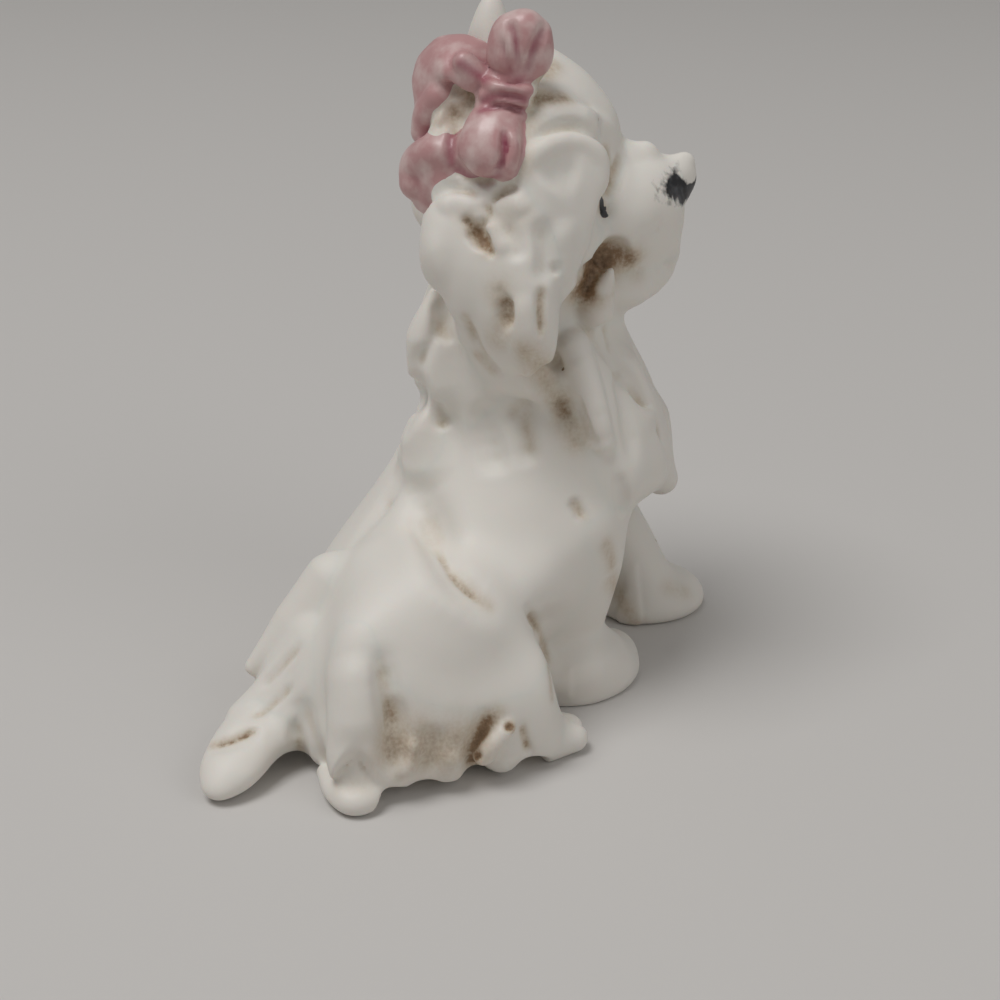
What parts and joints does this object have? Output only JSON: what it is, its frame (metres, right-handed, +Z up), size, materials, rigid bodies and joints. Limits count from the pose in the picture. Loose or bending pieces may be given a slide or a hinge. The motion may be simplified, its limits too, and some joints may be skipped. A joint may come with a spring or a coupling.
{
  "type": "porcelain dog figurine",
  "caption": "Small seated long-haired dog ornament in matte white bisque porcelain, with a pink ribbon bow on its topknot and a painted nose; stands on its flat base.",
  "frame": {"origin": "on the flat base, under the midline of the hips and midway between the tips of the forepaw and the tail", "axes": "+Z up; -Y the way the dog faces; +X the dog's left"},
  "size_m": [0.0339, 0.0529, 0.0596],
  "materials": {
    "bisque": "matte unglazed bisque with a brown wash rubbed into the hollows",
    "ribbon_lustre": "pink pearly lustre over bisque",
    "face_paint": "black brushed ceramic paint, worn at the edges"
  },
  "bodies": {
    "root": {"body_shell": "bisque", "head_shell": "bisque", "muzzle": "bisque", "chin_beard": "bisque", "nose_pad": "face_paint", "right_eye": "face_paint", "left_eye": "face_paint", "right_ear": "bisque", "left_ear": "bisque", "right_cheek": "bisque", "left_cheek": "bisque", "topknot": "bisque", "bow_knot": "ribbon_lustre", "bow_upper_loop": "ribbon_lustre", "bow_lower_loop": "ribbon_lustre", "ribbon_upper_tail": "ribbon_lustre", "ribbon_lower_tail": "ribbon_lustre", "nape_ruff": "bisque", "chest_ruff": "bisque", "right_foreleg": "bisque", "left_foreleg": "bisque", "right_hind_foot": "bisque", "left_hind_foot": "bisque", "right_skirt": "bisque", "left_skirt": "bisque", "rump_locks": "bisque", "tail": "bisque"}
  },
  "joints": []
}
